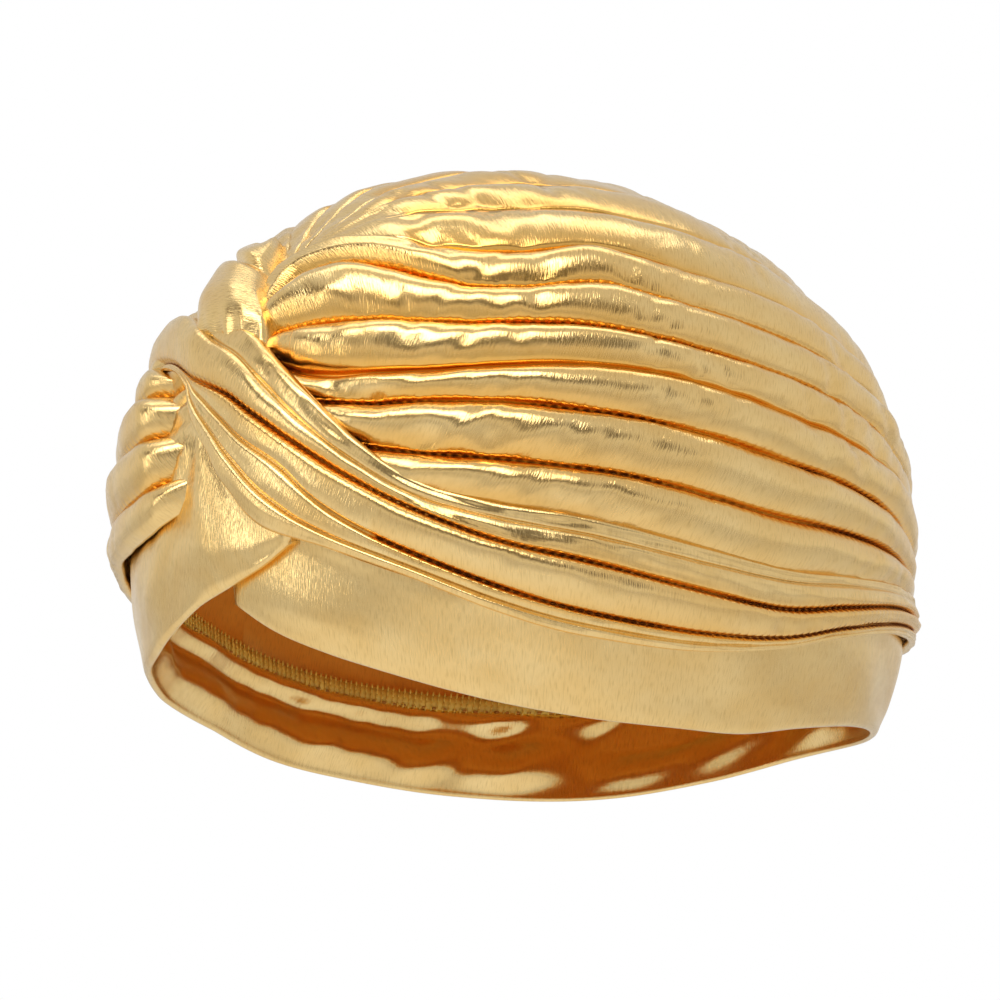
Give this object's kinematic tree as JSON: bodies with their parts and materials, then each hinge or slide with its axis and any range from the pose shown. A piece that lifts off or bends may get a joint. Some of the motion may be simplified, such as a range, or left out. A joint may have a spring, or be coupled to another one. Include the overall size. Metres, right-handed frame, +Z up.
{
  "type": "pleated turban",
  "caption": "Soft pleated turban cap with a crossed and looped knot at the forehead, a smooth hem band and an open hollow for the head.",
  "frame": {"origin": "middle of the head opening, level with the lowest point of the hem over the ears", "axes": "+Z up along the wearer's head, -Y forward through the knot at the forehead, +X to the wearer's left"},
  "size_m": [0.183, 0.2132, 0.144],
  "materials": {
    "foil_knit": "metallic foil printed stretch knit, pleated and stitched",
    "band_knit": "the same foil knit, laid double and smooth, amber inside",
    "overlock_thread": "overlocked seam edge in amber yellow thread"
  },
  "bodies": {
    "root": {"crown": "foil_knit", "hem_band": "band_knit", "wrap_left": "foil_knit", "wrap_right": "foil_knit", "knot_loop": "foil_knit", "seam_allowance": "overlock_thread"}
  },
  "joints": []
}
